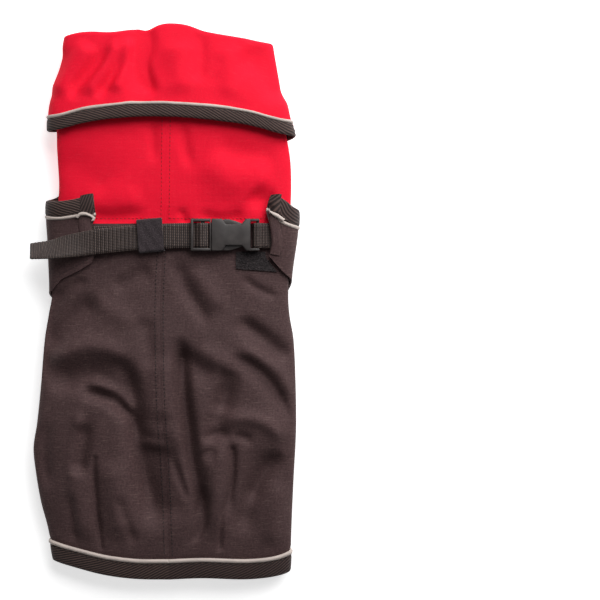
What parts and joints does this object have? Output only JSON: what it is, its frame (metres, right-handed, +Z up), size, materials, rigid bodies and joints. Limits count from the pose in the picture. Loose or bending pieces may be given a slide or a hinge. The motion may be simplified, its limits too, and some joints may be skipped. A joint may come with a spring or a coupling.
{
  "type": "dog winter coat",
  "caption": "Dog winter coat laid flat with its back up: collar and yoke over the shoulders, body with open flaps, chest panel with wrap-round wings, and a webbing belt.",
  "frame": {"origin": "on the surface the coat lies on, under the middle of its length and width", "axes": "+Y along the back towards the collar, +X to the right seen from above, +Z up out of the back"},
  "size_m": [0.2158, 0.4453, 0.0379],
  "materials": {
    "shell_charcoal": "woven softshell, slubbed plain weave, dull",
    "shell_red": "woven softshell, plain weave, slight sheen",
    "twill_binding": "polyester twill tape with diagonal ribs",
    "reflective_piping": "pale retroreflective piping",
    "fleece": "brushed heather fleece",
    "webbing": "ribbed polypropylene webbing",
    "hook_fabric": "nylon hook tape",
    "loop_fabric": "brushed nylon loop",
    "buckle_plastic": "moulded acetal, fine spark texture",
    "label_rubber": "soft moulded rubber, satin"
  },
  "bodies": {
    "root": {"back_left": "shell_charcoal", "hem_binding_left": "twill_binding", "hem_piping_left": "reflective_piping", "lining_left": "fleece", "back_right": "shell_charcoal", "hem_binding_right": "twill_binding", "hem_piping_right": "reflective_piping", "lining_right": "fleece", "yoke_left": "shell_red", "yoke_right": "shell_red", "collar": "shell_red", "collar_binding": "twill_binding", "collar_piping": "reflective_piping", "chest_panel": "shell_charcoal", "armhole_binding_left": "twill_binding", "armhole_piping_left": "reflective_piping", "armhole_binding_right": "twill_binding", "armhole_piping_right": "reflective_piping", "label_patch": "label_rubber", "loop_patch": "loop_fabric", "buckle_frame": "buckle_plastic", "buckle_housing": "buckle_plastic", "webbing_left": "webbing", "webbing_right": "webbing", "keeper": "hook_fabric"}
  },
  "joints": []
}
